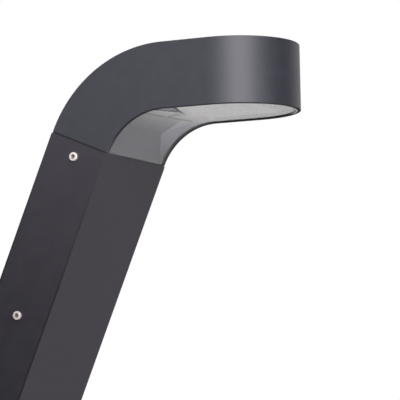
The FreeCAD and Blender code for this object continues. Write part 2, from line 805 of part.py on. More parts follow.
def make_led_connector():
    """Block at the board's edge that takes the lead."""
    body = new_body("led_connector")
    sketch = sketch_on(body, "XY_Plane", "At.tray_z")
    low_y = "Dim.led_cable_side - Dim.connector_width / 2"
    high_y = "Dim.led_cable_side + Dim.connector_width / 2"
    draw_rectangle(sketch, "At.connector_x", low_y, "At.board_x", high_y)
    extrude(body, "Pad", sketch, "Dim.connector_height", backwards=True)
    return keep(body)


# Leads

def rounded_path(points, radius):
    """Wire of straight runs joined by arcs of one radius."""
    edges = []
    start = points[0]
    for before, corner, after in zip(points, points[1:], points[2:]):
        arrive = (corner - before).normalize()
        leave = (after - corner).normalize()
        half_turn = arrive.getAngle(leave) / 2
        inward = (leave - arrive).normalize()
        tangent = radius * math.tan(half_turn)
        begin = corner - arrive * tangent
        finish = corner + leave * tangent
        depth = (radius ** 2 + tangent ** 2) ** 0.5 - radius
        edges.append(Part.LineSegment(start, begin).toShape())
        edges.append(Part.Arc(begin, corner + inward * depth, finish).toShape())
        start = finish
    edges.append(Part.LineSegment(start, points[-1]).toShape())
    return Part.Wire(edges)


def flat_section(start, direction, width, thick):
    """Rectangular wire across the start of a path, with its width along Y."""
    across = FreeCAD.Vector(0, width / 2, 0)
    up = direction.cross(across).normalize() * (thick / 2)
    return Part.makePolygon([
        start - across - up,
        start + across - up,
        start + across + up,
        start - across + up,
        start - across - up,
    ])


def on_arm_axis(along, side):
    """Point on the arm's axis at a distance from the wall, moved to one side."""
    return f"({along}) * At.lean_sin", side, f"({along}) * At.lean_cos"


def make_led_cable():
    """Flat twin lead from the driver up the arm, through the tray's slope and into the connector."""
    height = "(At.under_z + At.cable_height)"
    corners = [
        ("At.driver_cable_x", "Dim.led_cable_start_side", "At.driver_top"),
        ("At.driver_cable_x", "Dim.led_cable_start_side", "At.driver_top + Dim.led_cable_rise"),
        on_arm_axis("Dim.led_cable_low", "Dim.led_cable_start_side"),
        on_arm_axis("Dim.led_cable_high", "Dim.led_cable_side"),
        on_arm_axis(f"{height} / At.lean_cos", "Dim.led_cable_side"),
        ("At.connector_x", "Dim.led_cable_side", height),
    ]
    points = [vector(corner) for corner in corners]
    path = rounded_path(points, number("Dim.led_cable_bend"))
    width = number("Dim.led_cable_width")
    thick = number("Dim.led_cable_thick")
    section = flat_section(points[0], points[1] - points[0], width, thick)
    cable = doc.addObject("Part::Feature", "led_cable")
    cable.Label = "led_cable"
    cable.Shape = path.makePipeShell([section], True, False)
    if abs(cable.Shape.Volume / (width * thick * path.Length) - 1) > 0.01:
        raise ValueError("led_cable has the wrong volume")
    return keep(cable)


def pole_y(pole):
    """Sideways place of one terminal pole."""
    return f"At.terminal_edge - {len(TERMINAL_POLES) - pole - 0.5} * Dim.terminal_pitch"


def make_lead(label, pole, low, high):
    """Straight insulated wire at one terminal pole, between two heights."""
    lead = doc.addObject("Part::Cylinder", label)
    lead.Label = label
    lead.setExpression("Radius", "Dim.lead_diameter / 2")
    lead.setExpression("Height", f"{high} - ({low})")
    lead.setExpression("Placement.Base.x", "At.terminal_entry_x")
    lead.setExpression("Placement.Base.y", pole_y(pole))
    lead.setExpression("Placement.Base.z", low)
    return keep(lead)


# Wall bracket and what it carries

def make_wall_gasket():
    """Flat ring between the mitred foot and the wall."""
    body = new_body("wall_gasket")
    sketch = sketch_on(body, "YZ_Plane")
    outer = ("At.arm_width / 2 - Dim.wall_seal_inset", "At.foot_half - Dim.wall_seal_inset")
    inner = ("At.arm_inner_width / 2", "At.foot_inner_half")
    for half_width, half_height in (outer, inner):
        draw_rectangle(sketch, f"-({half_width})", f"At.foot_middle - ({half_height})",
                       half_width, f"At.foot_middle + {half_height}")
    extrude(body, "Pad", sketch, "Dim.wall_seal_thick")
    return keep(body)


def draw_bracket_section(sketch):
    """Folded section of the bracket where it has its ears, seen from above."""
    outer = "(Dim.bracket_fold + Dim.bracket_thick)"
    turn_y = f"(At.ear_half - {outer})"
    inner_y = "(At.ear_half - Dim.bracket_thick)"
    draw_loop(sketch, [
        ("Dim.ear_reach", "At.ear_half"),
        (outer, "At.ear_half", outer, turn_y, 1),
        ("0", turn_y),
        ("0", f"-{turn_y}", outer, f"-{turn_y}", 1),
        (outer, "-At.ear_half"),
        ("Dim.ear_reach", "-At.ear_half"),
        ("Dim.ear_reach", f"-{inner_y}"),
        (outer, f"-{inner_y}", outer, f"-{turn_y}", -1),
        ("Dim.bracket_thick", f"-{turn_y}"),
        ("Dim.bracket_thick", turn_y, outer, turn_y, -1),
        (outer, inner_y),
        ("Dim.ear_reach", inner_y),
    ])


def make_wall_bracket():
    """Folded sheet: plate on the wall with two ears that the arm slips over."""
    body = new_body("wall_bracket")
    sketch = sketch_on(body, "XY_Plane", "At.foot_screw_z - Dim.ear_height / 2")
    draw_bracket_section(sketch)
    extrude(body, "Pad", sketch, "Dim.ear_height")
    reach = number("Dim.ear_reach")
    dress_edges(body, "Fillet", lambda edge: runs_along(edge, (0, 1, 0)) and edge.BoundBox.XMin > reach / 2,
                "Dim.ear_corner")
    sketch = sketch_on(body, "YZ_Plane")
    half = "(At.ear_half - Dim.bracket_thick - Dim.bracket_fold)"
    draw_rectangle(sketch, f"-{half}", "At.plate_low", half, "At.plate_high")
    extrude(body, "Pad", sketch, "Dim.bracket_thick")
    sketch = sketch_on(body, "YZ_Plane")
    for side in SIDES:
        draw_circle(sketch, "0", f"{side} * Dim.wall_bolt_spacing / 2", "Dim.wall_bolt_hole")
    draw_circle(sketch, "0", "-Dim.cable_drop", "Dim.gland_diameter + 2 * Dim.gland_clearance")
    extrude(body, "Pocket", sketch, "4 * Dim.bracket_thick", symmetric=True)
    sketch = sketch_on(body, "XZ_Plane")
    screw_hole = "Dim.side_screw_diameter + 2 * Dim.screw_clearance"
    draw_circle(sketch, "At.foot_screw_x", "At.foot_screw_z", screw_hole)
    extrude(body, "Pocket", sketch, "2 * At.arm_width", symmetric=True)
    return keep(body)


def make_bracket_nuts():
    """Hexagon nuts welded to the inner faces of the ears."""
    nuts = []
    for side in SIDES:
        body = new_body("nut")
        sketch = sketch_on(body, "XY_Plane")
        draw_hexagon(sketch, "Dim.nut_width")
        draw_circle(sketch, "0", "0", "Dim.side_screw_diameter + 2 * Dim.thread_clearance")
        extrude(body, "Pad", sketch, "Dim.nut_height")
        y = f"{side} * (At.ear_half - Dim.bracket_thick)"
        place_body(body, "At.foot_screw_x", y, "At.foot_screw_z", (1, 0, 0), str(90 * side))
        nuts.append(body)
    return keep_group("bracket_nuts", nuts)


def make_cable_gland():
    """Gland in the plate's hole, with its hexagon head on the inner side."""
    body = new_body("cable_gland")
    place_body(body, "Dim.bracket_thick", "0", "-Dim.cable_drop", (0, 1, 0), "90")
    sketch = sketch_on(body, "XY_Plane")
    draw_hexagon(sketch, "Dim.gland_head_width")
    extrude(body, "Pad", sketch, "Dim.gland_head_height")
    sketch = sketch_on(body, "XY_Plane")
    draw_circle(sketch, "0", "0", "Dim.gland_diameter")
    extrude(body, "Pad", sketch, "Dim.bracket_thick", backwards=True)
    sketch = sketch_on(body, "XY_Plane")
    draw_circle(sketch, "0", "0", "Dim.gland_bore")
    extrude(body, "Pocket", sketch, "4 * Dim.gland_head_height", symmetric=True)
    return keep(body)


def make_led_driver():
    """Potted driver, bonded to the plate."""
    body = new_body("led_driver")
    low_z = "Dim.driver_rise - Dim.driver_height / 2"
    sketch = sketch_on(body, "YZ_Plane", "Dim.bracket_thick")
    half = "(Dim.driver_width / 2)"
    draw_round_rectangle(sketch, (f"-{half}", low_z), (half, "At.driver_top"), "Dim.driver_corner")
    extrude(body, "Pad", sketch, "Dim.driver_depth")
    return keep(body)


def make_terminal_block():
    """Insulated push-in block with a square wire entry at both ends of each pole."""
    body = new_body("terminal_block")
    sketch = sketch_on(body, "YZ_Plane", "Dim.bracket_thick")
    inner_edge = f"At.terminal_edge - {len(TERMINAL_POLES)} * Dim.terminal_pitch"
    draw_rectangle(sketch, inner_edge, "At.terminal_low", "At.terminal_edge", "At.terminal_high")
    extrude(body, "Pad", sketch, "Dim.terminal_depth")
    sketch = sketch_on(body, "XY_Plane", "At.terminal_low")
    reach = "(Dim.lead_diameter / 2 + Dim.lead_clearance)"
    for pole in TERMINAL_POLES:
        draw_rectangle(sketch, f"At.terminal_entry_x - {reach}", f"{pole_y(pole)} - {reach}",
                       f"At.terminal_entry_x + {reach}", f"{pole_y(pole)} + {reach}")
    extrude(body, "Pocket", sketch, "Dim.terminal_height", backwards=True)
    return keep(body)


def make_earth_tab():
    """Bent tab on the plate that takes the earth lead, one pole above the terminal block."""
    body = new_body("earth_tab")
    sketch = sketch_on(body, "XZ_Plane", f"-({pole_y(EARTH_POLE)})")
    top = "At.terminal_entry_x + Dim.lead_diameter / 2"
    low = "At.earth_tab_z"
    draw_loop(sketch, [
        ("Dim.bracket_thick", low),
        (top, low),
        (top, f"{low} + Dim.earth_tab_thick"),
        ("Dim.bracket_thick + Dim.earth_tab_thick", f"{low} + Dim.earth_tab_thick"),
        ("Dim.bracket_thick + Dim.earth_tab_thick", f"{low} + Dim.earth_tab_base"),
        ("Dim.bracket_thick", f"{low} + Dim.earth_tab_base"),
    ])
    extrude(body, "Pad", sketch, "Dim.earth_tab_width", symmetric=True)
    return keep(body)


# Assembly

def build():
    """Make every piece in its place."""
    make_head_housing()
    make_window()
    make_window_gasket()
    make_window_catches()
    make_arm_tube()
    make_joint_gasket()
    make_side_screws("joint_screws", "At.joint_screw_x", "At.joint_screw_z")
    make_side_screws("bracket_screws", "At.foot_screw_x", "At.foot_screw_z")
    make_reflector_tray()
    make_tray_screws()
    make_flat("thermal_pad", "At.pad_bottom", "Dim.pad_thick")
    make_flat("led_board", "At.board_bottom", "Dim.board_thick")
    make_led_emitters()
    make_led_connector()
    make_led_cable()
    make_wall_gasket()
    make_wall_bracket()
    make_bracket_nuts()
    make_cable_gland()
    make_led_driver()
    make_terminal_block()
    make_earth_tab()
    lead_low = "At.terminal_low + Dim.lead_insert"
    make_lead("neutral_lead", NEUTRAL_POLE, "At.driver_top", lead_low)
    make_lead("live_lead", LIVE_POLE, "At.driver_top", lead_low)
    make_lead("earth_lead", EARTH_POLE, "At.terminal_high - Dim.lead_insert", "At.earth_tab_z")
    doc.removeObject(trial.Name)
    doc.recompute()


def check():
    """Stop if a feature failed, a cut removed nothing or a piece is not a sound solid."""
    for item in doc.Objects:
        if "Invalid" in item.State or "Error" in item.State:
            raise ValueError(f"{item.Name} failed: {item.State}")
        if item.TypeId == "PartDesign::Pocket" and item.Shape.Volume >= item.BaseFeature.Shape.Volume:
            raise ValueError(f"{item.Name} of {item.getParentGeoFeatureGroup().Label} cuts nothing")
    for piece in nodes:
        if piece.Shape.isNull() or not piece.Shape.isValid() or not piece.Shape.Solids:
            raise ValueError(f"{piece.Label} has no sound solid")


def export():
    """Write each piece to its own file."""
    os.makedirs("parts", exist_ok=True)
    for piece in nodes:
        piece.Shape.exportStep(f"parts/{piece.Label}.step")


build()
check()
export()
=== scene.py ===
import json
import math

import bmesh
import bpy
from mathutils import Matrix, Vector


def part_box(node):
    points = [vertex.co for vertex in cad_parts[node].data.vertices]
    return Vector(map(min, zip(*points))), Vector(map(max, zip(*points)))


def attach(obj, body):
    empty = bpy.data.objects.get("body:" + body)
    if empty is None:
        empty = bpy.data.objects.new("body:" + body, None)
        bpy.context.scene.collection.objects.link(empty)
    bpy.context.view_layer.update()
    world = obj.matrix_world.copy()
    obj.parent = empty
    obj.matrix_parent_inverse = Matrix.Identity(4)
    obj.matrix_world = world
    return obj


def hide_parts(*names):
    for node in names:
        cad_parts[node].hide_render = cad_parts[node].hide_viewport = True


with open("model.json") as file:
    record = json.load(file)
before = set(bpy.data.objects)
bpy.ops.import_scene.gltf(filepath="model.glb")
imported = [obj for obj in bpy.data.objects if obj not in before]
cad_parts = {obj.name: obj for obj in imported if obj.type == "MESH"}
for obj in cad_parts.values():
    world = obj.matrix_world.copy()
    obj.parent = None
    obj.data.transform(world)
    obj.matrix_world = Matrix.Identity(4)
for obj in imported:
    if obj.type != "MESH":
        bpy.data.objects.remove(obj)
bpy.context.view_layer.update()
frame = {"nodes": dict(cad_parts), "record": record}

# Outdoor wall light in the row frame, in metres: the wall is x = 0, +X points out from it and +Z up.
NODES = frame["nodes"]
SIDES = (-1, 1)

# Places and sizes of the head and the arm
HEAD_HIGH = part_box("head_housing")[1]
HEAD_HALF_WIDTH = HEAD_HIGH[1]
HEAD_DEPTH = 0.060
HEAD_STRAIGHT = 0.045
BEND_RADIUS = 0.060
ROUND_X = HEAD_HIGH[0] - HEAD_HALF_WIDTH
BEND_CENTRE = Vector((ROUND_X - HEAD_STRAIGHT, 0.0, HEAD_HIGH[2] - HEAD_DEPTH - BEND_RADIUS))
ARM_HALF_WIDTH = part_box("arm_tube")[1][1]
ARM_HALF_DEPTH = HEAD_DEPTH / 2 + ARM_HALF_WIDTH - HEAD_HALF_WIDTH
SLANT = math.radians(23.0)
SEAM_ALONG = 0.224

# Places and sizes of the tray, the board and its chips
TRAY_LOW, TRAY_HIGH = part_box("reflector_tray")
TRAY_THICK = 0.0012
TRAY_KNEE_BACK = 0.055
TRAY_KNEE_UP = 0.054
CHEEK_SIDE = TRAY_HIGH[1] - TRAY_THICK
FOOT_Z = TRAY_LOW[2]
KNEE_X = BEND_CENTRE.x - TRAY_KNEE_BACK
KNEE_Z = BEND_CENTRE.z + TRAY_KNEE_UP
BOARD_LOW, BOARD_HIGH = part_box("led_board")
BOARD_MIDDLE_X = (BOARD_LOW[0] + BOARD_HIGH[0]) / 2
EMITTER_PITCH_LONG = 0.016
EMITTER_PITCH_WIDE = 0.018

# Sizes of the side screws
SCREW_HEAD_RADIUS = 0.004
SCREW_HEAD_HEIGHT = 0.0024
SCREW_HEAD_ROUND = 0.0005
ROUND_STEPS = 6
SHANK_RADIUS = 0.002
SHANK_LENGTH = 0.010
SOCKET_FLATS = 0.0028
SOCKET_DEPTH = 0.0016
SOCKET_BEVEL = 0.0005
SOCKET_ROWS = 2
THREAD_DEPTH = 0.0003
THREAD_TURNS = 14
RING_POINTS = 48
SHARP_ANGLE = math.radians(30)

# Bands over which paint changes, many of them edges of painted shade and painted light: a share is 0 at the
# first distance and 1 at the second
EDGE_STEEPNESS = 4.0
UNDERSIDE_BAND = (0.0001, 0.0004)
HEAD_SEAM_BAND = (0.0004, 0.0012)
ABOVE_SEAM_BAND = (0.004, 0.020)
INSIDE_WALL_BAND = (0.0020, 0.0025)
INSIDE_RIM_BAND = (0.0008, 0.0010)
ARM_FACE_BAND = (0.0, 0.0002)
ARM_EDGE_BAND = (0.0006, 0.0030)
ARM_FADING_BAND = (0.076, 0.228)
GROOVE_BAND = (HEAD_HALF_WIDTH - 0.0015, HEAD_HALF_WIDTH - 0.0006)
BEND_BAND = (BEND_CENTRE.x, BEND_CENTRE.x - 0.012)
TIP_BAND = (ROUND_X + 0.034, ROUND_X + 0.046)
CHEEK_BAND = (CHEEK_SIDE - 0.0004, CHEEK_SIDE)
LEVEL_TONE_BAND = (0.0, 0.0008)
SHADOW_LINE_BAND = (0.0007, 0.0018)

# Other places and sizes of paint
# Place and slant of the painted shadow line on the tray, where its lighter tone begins
SHADOW_LINE_X = BEND_CENTRE.x - 0.026
SHADOW_LINE_Z = BEND_CENTRE.z + 0.063
SHADOW_LINE_SKEW = 0.083
CORNER_SPREAD = 0.55
PHOSPHOR_REACH = 0.002
TRACK_REACH = 0.004

# Stage, light and camera
FLOOR_Z = -0.45
FLOOR_RADIUS = 12.0
FLOOR_POINTS = 96
FLOOR_SEEN = 0.5
FLOOR_MIRRORED = 0.24
FLOOR_FAR_BAND = (1.2, 2.8)
FILL_STRENGTH = 0.44
CAMERA_AZIMUTH = 24.688
CAMERA_DIP = 5.593
CAMERA_ROLL = math.radians(-1.052)
CAMERA_DISTANCE = 1.812344
CAMERA_ASIDE = 0.008161
CAMERA_DOWN = 0.017192
CAMERA_LENS = 178.6
CAMERA_SENSOR = 36.0
CAMERA_NEAREST = 0.05
CAMERA_FURTHEST = 60.0


# Nodes of materials

def shader_of(material):
    """Node tree of a material and its Principled shader."""
    tree = material.node_tree
    return tree, tree.nodes["Principled BSDF"]


def new_material(name):
    """Empty node material with its tree and its shader."""
    material = bpy.data.materials.new(name)
    material.use_nodes = True
    return material, *shader_of(material)


def feed(tree, shader, socket, source):
    """Lead a source to a socket of the shader, in place of what fed it before."""
    tree.links.new(source, shader.inputs[socket])


def source_of(shader, socket):
    """What feeds a socket of the shader now."""
    return shader.inputs[socket].links[0].from_socket


def object_coordinates(tree):
    """Position in the object's own space, which is the row frame for the solids and the screws."""
    return tree.nodes.new("ShaderNodeTexCoord").outputs["Object"]


def noise(tree, scale, detail=4.0):
    """Noise over the object's surface, with scale in waves per metre."""
    node = tree.nodes.new("ShaderNodeTexNoise")
    node.inputs["Scale"].default_value = scale
    node.inputs["Detail"].default_value = detail
    node.inputs["Roughness"].default_value = 0.55
    tree.links.new(object_coordinates(tree), node.inputs["Vector"])
    return node.outputs["Fac"]


def ramp(tree, source, stops):
    """Colour ramp from (position, colour) pairs."""
    node = tree.nodes.new("ShaderNodeValToRGB")
    band = node.color_ramp
    while len(band.elements) < len(stops):
        band.elements.new(0.5)
    for element, (position, colour) in zip(band.elements, stops):
        element.position = position
        element.color = (*colour, 1.0)
    tree.links.new(source, node.inputs["Fac"])
    return node.outputs["Color"]


def two_tone(tree, source, low, high, start=0.3, end=0.7):
    """Colour that follows a source from a low tone to a high one."""
    return ramp(tree, source, [(start, low), (end, high)])


def spread(tree, source, low, high):
    """Number that follows a 0 to 1 source between two limits."""
    node = tree.nodes.new("ShaderNodeMapRange")
    node.inputs["To Min"].default_value = low
    node.inputs["To Max"].default_value = high
    tree.links.new(source, node.inputs["Value"])
    return node.outputs["Result"]


def calculate(tree, operation, first, second=0.0):
    """Result of a sum on sources or plain numbers."""
    node = tree.nodes.new("ShaderNodeMath")
    node.operation = operation
    for socket, value in zip(node.inputs, (first, second)):
        if isinstance(value, float):
            socket.default_value = value
        else:
            tree.links.new(value, socket)
    return node.outputs["Value"]


def axes(tree):
    """The three coordinates of a point as separate sources."""
    node = tree.nodes.new("ShaderNodeSeparateXYZ")
    tree.links.new(object_coordinates(tree), node.inputs["Vector"])
    return node.outputs["X"], node.outputs["Y"], node.outputs["Z"]


def length_of(tree, first, second):
    """Length of a vector from its two parts."""
    squares = [calculate(tree, "MULTIPLY", part, part) for part in (first, second)]
    return calculate(tree, "SQRT", calculate(tree, "ADD", *squares))


def from_pitch(tree, source, middle, pitch):
    """Distance from the nearest place of a row whose places lie half a pitch off its middle."""
    turns = calculate(tree, "DIVIDE", calculate(tree, "SUBTRACT", source, middle), pitch)
    share = calculate(tree, "SUBTRACT", calculate(tree, "FRACT", turns), 0.5)
    return calculate(tree, "MULTIPLY", share, pitch)


def limits(tree, source, low, high):
    """Smooth step from 0 at the first limit to 1 at the second."""
    node = tree.nodes.new("ShaderNodeMapRange")
    node.interpolation_type = "SMOOTHSTEP"
    node.inputs["From Min"].default_value = low
    node.inputs["From Max"].default_value = high
    tree.links.new(source, node.inputs["Value"])
    return node.outputs["Result"]


def mix_colour(tree, share, first, second):
    """Colour that goes from the first to the second as the share goes from 0 to 1."""
    node = tree.nodes.new("ShaderNodeMix")
    node.data_type = "RGBA"
    tree.links.new(share, node.inputs["Factor"])
    for label, value in (("A", first), ("B", second)):
        socket = [item for item in node.inputs if item.identifier == label + "_Color"][0]
        if isinstance(value, tuple):
            socket.default_value = (*value, 1.0)
        else:
            tree.links.new(value, socket)
    return [item for item in node.outputs if item.identifier == "Result_Color"][0]


def bump(tree, shader, height, strength, distance):
    """Surface relief from a height source."""
    node = tree.nodes.new("ShaderNodeBump")
    node.inputs["Strength"].default_value = strength
    node.inputs["Distance"].default_value = distance
    tree.links.new(height, node.inputs["Height"])
    feed(tree, shader, "Normal", node.outputs["Normal"])


# Coats of the head and the arm

def coated_metal(name, low, high):
    """Fine anthracite powder coat: slight mottling, satin sheen and a pebbled surface."""
    material, tree, shader = new_material(name)
    mottle = noise(tree, scale=90.0, detail=5.0)
    grain = noise(tree, scale=2600.0, detail=2.0)
    feed(tree, shader, "Base Color", two_tone(tree, mottle, low, high))
    feed(tree, shader, "Roughness", spread(tree, mottle, 0.44, 0.50))
    shader.inputs["Specular Tint"].default_value = (0.965, 0.955, 1.0, 1.0)
    bump(tree, shader, grain, strength=0.12, distance=0.0002)
    return material


def slant_axes(tree):
    """Coordinates along the arm and across its depth, and the distance from the middle plane."""
    x, y, z = axes(tree)
    along = calculate(tree, "ADD", calculate(tree, "MULTIPLY", x, math.sin(SLANT)),
                      calculate(tree, "MULTIPLY", z, math.cos(SLANT)))
    depth = calculate(tree, "SUBTRACT", calculate(tree, "MULTIPLY", x, math.cos(SLANT)),
                      calculate(tree, "MULTIPLY", z, math.sin(SLANT)))
    return along, depth, calculate(tree, "ABSOLUTE", y)


def from_edge(tree, inward, from_side):
    """Distance from an edge of a side face, which grows fast off that face."""
    return calculate(tree, "ADD", inward, calculate(tree, "MULTIPLY", from_side, EDGE_STEEPNESS))


def paint_edge_shade(tree, shader, edge, colour):
    """Painted shade: let the coat go dark and rough where the edge source falls to 0."""
    feed(tree, shader, "Base Color", mix_colour(tree, edge, colour, source_of(shader, "Base Color")))
    dullness = calculate(tree, "SUBTRACT", 1.0, edge)
    feed(tree, shader, "Roughness", calculate(tree, "MAXIMUM", source_of(shader, "Roughness"), dullness))


def above_underside(tree):
    """Distance from the head's underside, which is round the bend at first and then level."""
    x, _, z = axes(tree)
    before_level = calculate(tree, "MINIMUM", calculate(tree, "SUBTRACT", x, BEND_CENTRE.x), 0.0)
    above_centre = calculate(tree, "SUBTRACT", z, BEND_CENTRE.z)
    return calculate(tree, "SUBTRACT", length_of(tree, before_level, above_centre), BEND_RADIUS)


def inside_head(tree, height):
    """Share that is 1 on the faces inside the head and 0 on its outside and its rim."""
    x, y, _ = axes(tree)
    past_straight = calculate(tree, "MAXIMUM", calculate(tree, "SUBTRACT", x, ROUND_X), 0.0)
    from_wall = calculate(tree, "SUBTRACT", HEAD_HALF_WIDTH, length_of(tree, past_straight, y))
    from_top = calculate(tree, "SUBTRACT", HEAD_DEPTH, height)
    past_walls = [limits(tree, reach, *INSIDE_WALL_BAND) for reach in (from_wall, from_top)]
    past_rim = limits(tree, height, *INSIDE_RIM_BAND)
    return calculate(tree, "MINIMUM", calculate(tree, "MINIMUM", *past_walls), past_rim)


def head_coat():
    """Coat of the head: cool, with painted shade under the rim and along the seam at the sides, and a light
    grey primer inside.
    """
    material = coated_metal("coated_metal", (0.021, 0.021, 0.029), (0.026, 0.026, 0.035))
    # Colour of the painted shade under the rim and along the seam at the sides
    edge_shade = (0.006, 0.006, 0.008)
    primer = (0.34, 0.34, 0.37)
    tree, shader = shader_of(material)
    along, _, side = slant_axes(tree)
    above_seam = calculate(tree, "SUBTRACT", along, SEAM_ALONG)
    reach = from_edge(tree, above_seam, calculate(tree, "SUBTRACT", HEAD_HALF_WIDTH, side))
    seam = limits(tree, reach, *HEAD_SEAM_BAND)
    height = above_underside(tree)
    near_seam = calculate(tree, "SUBTRACT", 1.0, limits(tree, above_seam, *ABOVE_SEAM_BAND))
    rim = calculate(tree, "MAXIMUM", limits(tree, height, *UNDERSIDE_BAND), near_seam)
    # Painted shade: darkens the seam on the side faces, and the rim's underside away from the seam
    paint_edge_shade(tree, shader, calculate(tree, "MINIMUM", seam, rim), edge_shade)
    primed = mix_colour(tree, inside_head(tree, height), source_of(shader, "Base Color"), primer)
    feed(tree, shader, "Base Color", primed)
    return material


def arm_coat():
    """Coat of the arm: warm, with a painted tint of the light on its front and back faces, and painted
    shade along its sides' edges near the foot.
    """
    material = coated_metal("coated_arm", (0.0165, 0.0155, 0.0205), (0.0210, 0.0200, 0.0252))
    # Painted tint of the light falling on the front and back faces
    front_back_painted_tint = (0.0208, 0.0175, 0.0268)
    edge_shade = (0.004, 0.003, 0.005)
    tree, shader = shader_of(material)
    shader.inputs["Specular Tint"].default_value = (0.97, 0.91, 1.0, 1.0)
    along, depth, side = slant_axes(tree)
    from_front = calculate(tree, "SUBTRACT", ARM_HALF_DEPTH, calculate(tree, "ABSOLUTE", depth))
    off_faces = limits(tree, from_front, *ARM_FACE_BAND)
    feed(tree, shader, "Base Color", mix_colour(tree, off_faces, front_back_painted_tint, source_of(shader, "Base Color")))
    reach = from_edge(tree, from_front, calculate(tree, "SUBTRACT", ARM_HALF_WIDTH, side))
    fading = limits(tree, along, *ARM_FADING_BAND)
    edge = calculate(tree, "MAXIMUM", limits(tree, reach, *ARM_EDGE_BAND), fading)
    # Painted shade along the sides' edges, fading out above the foot
    paint_edge_shade(tree, shader, edge, edge_shade)
    return material


# Paint of the tray, with painted light and shade

def tray_lit_corner(tree, x, side):
    """Share that is 1 in the mitred corners of the tray's upper slope, which widen from the knee up, where
    the cheeks' painted light is laid.
    """
    past_knee = calculate(tree, "MAXIMUM", calculate(tree, "SUBTRACT", x, KNEE_X), 0.0)
    past_knee = calculate(tree, "MINIMUM", past_knee, SHADOW_LINE_X - KNEE_X)
    reach = calculate(tree, "ADD", side, calculate(tree, "MULTIPLY", past_knee, CORNER_SPREAD))
    return limits(tree, reach, *CHEEK_BAND)


def tray_level_tone(tree, x, y, paint):
    """Lighter tone on the tray's level part, with a painted shadow line along its slightly slanted edge."""
    level_tone = (0.51, 0.49, 0.48)
    # Colour of the painted shadow line
    shadow_line = (0.085, 0.070, 0.060)
    slanted = calculate(tree, "SUBTRACT", x, calculate(tree, "MULTIPLY", y, SHADOW_LINE_SKEW))
    from_shadow_line = calculate(tree, "SUBTRACT", slanted, SHADOW_LINE_X)
    covered = mix_colour(tree, limits(tree, from_shadow_line, *LEVEL_TONE_BAND), paint, level_tone)
    off_shadow_line = limits(tree, calculate(tree, "ABSOLUTE", from_shadow_line), *SHADOW_LINE_BAND)
    return mix_colour(tree, off_shadow_line, shadow_line, covered)


def grey_sheet():
    """Grey satin paint on the folded tray, with painted shade at its foot and painted light up its slope,
    on its cheeks and in its corners.
    """
    material, tree, shader = new_material("grey_sheet")
    # Painted shade at the slope's foot and painted light towards its top
    foot_shade = (0.160, 0.155, 0.185)
    top = (0.45, 0.44, 0.47)
    # Painted light on the cheeks, lighter upwards
    lit_cheek_foot = (0.30, 0.29, 0.32)
    lit_cheek_top = (0.74, 0.73, 0.79)
    x, y, z = axes(tree)
    side = calculate(tree, "ABSOLUTE", y)
    patch = noise(tree, scale=120.0)
    slope = two_tone(tree, patch, (0.232, 0.225, 0.266), (0.277, 0.270, 0.312))
    slope = mix_colour(tree, limits(tree, z, KNEE_Z, FOOT_Z), slope, foot_shade)
    slope = mix_colour(tree, limits(tree, z, KNEE_Z, SHADOW_LINE_Z), slope, top)
    lit_cheek = mix_colour(tree, limits(tree, z, FOOT_Z, SHADOW_LINE_Z), lit_cheek_foot, lit_cheek_top)
    paint = mix_colour(tree, tray_lit_corner(tree, x, side), slope, lit_cheek)
    paint = tray_level_tone(tree, x, y, paint)
    paint = mix_colour(tree, limits(tree, side, *CHEEK_BAND), paint, lit_cheek)
    feed(tree, shader, "Base Color", paint)
    feed(tree, shader, "Roughness", spread(tree, patch, 0.38, 0.46))
    return material


# Seals

def rubber(name, low, high):
    """Dark seal with a faint bloom."""
    material, tree, shader = new_material(name)
    bloom = noise(tree, scale=300.0, detail=3.0)
    feed(tree, shader, "Base Color", two_tone(tree, bloom, low, high, start=0.35, end=0.75))
    feed(tree, shader, "Roughness", spread(tree, bloom, 0.6, 0.8))
    return material


def joint_seal():
    """Seal of the seam: grey in front, and black from painted shade in the groove at the sides."""
    material = rubber("joint_seal", (0.044, 0.042, 0.047), (0.056, 0.054, 0.060))
    black = (0.008, 0.008, 0.009)
    tree, shader = shader_of(material)
    groove = limits(tree, calculate(tree, "ABSOLUTE", axes(tree)[1]), *GROOVE_BAND)
    # Painted shade: the seal goes black in the groove at the sides
    feed(tree, shader, "Base Color", mix_colour(tree, groove, source_of(shader, "Base Color"), black))
    return material


def window_seal():
    """Seal of the window: black, with painted light on its walls round the bend and at the tip, and glossy
    at the tip.
    """
    material = rubber("window_seal", (0.010, 0.010, 0.011), (0.022, 0.022, 0.024))
    # Painted light on the seal's walls, brighter at the tip
    bend_wall_light = (0.14, 0.14, 0.15)
    tip_wall_light = (0.62, 0.62, 0.64)
    tree, shader = shader_of(material)
    x = axes(tree)[0]
    at_tip = limits(tree, x, *TIP_BAND)
    off_underside = limits(tree, above_underside(tree), *UNDERSIDE_BAND)
    black = source_of(shader, "Base Color")
    walls = mix_colour(tree, limits(tree, x, *BEND_BAND), black, bend_wall_light)
    walls = mix_colour(tree, at_tip, walls, tip_wall_light)
    feed(tree, shader, "Base Color", mix_colour(tree, off_underside, black, walls))
    gloss = spread(tree, at_tip, 1.0, 0.05)
    feed(tree, shader, "Roughness", calculate(tree, "MINIMUM", source_of(shader, "Roughness"), gloss))
    return material


# Plastics, bare metals, board and chips

def clear_plastic():
    """Clear acrylic with a very faint unevenness."""
    material, tree, shader = new_material("clear_plastic")
    wave = noise(tree, scale=25.0, detail=2.0)
    feed(tree, shader, "Base Color", two_tone(tree, wave, (0.93, 0.94, 0.95), (0.97, 0.975, 0.98)))
    shader.inputs["Transmission Weight"].default_value = 1.0
    shader.inputs["IOR"].default_value = 1.49
    feed(tree, shader, "Roughness", spread(tree, wave, 0.015, 0.04))
    return material


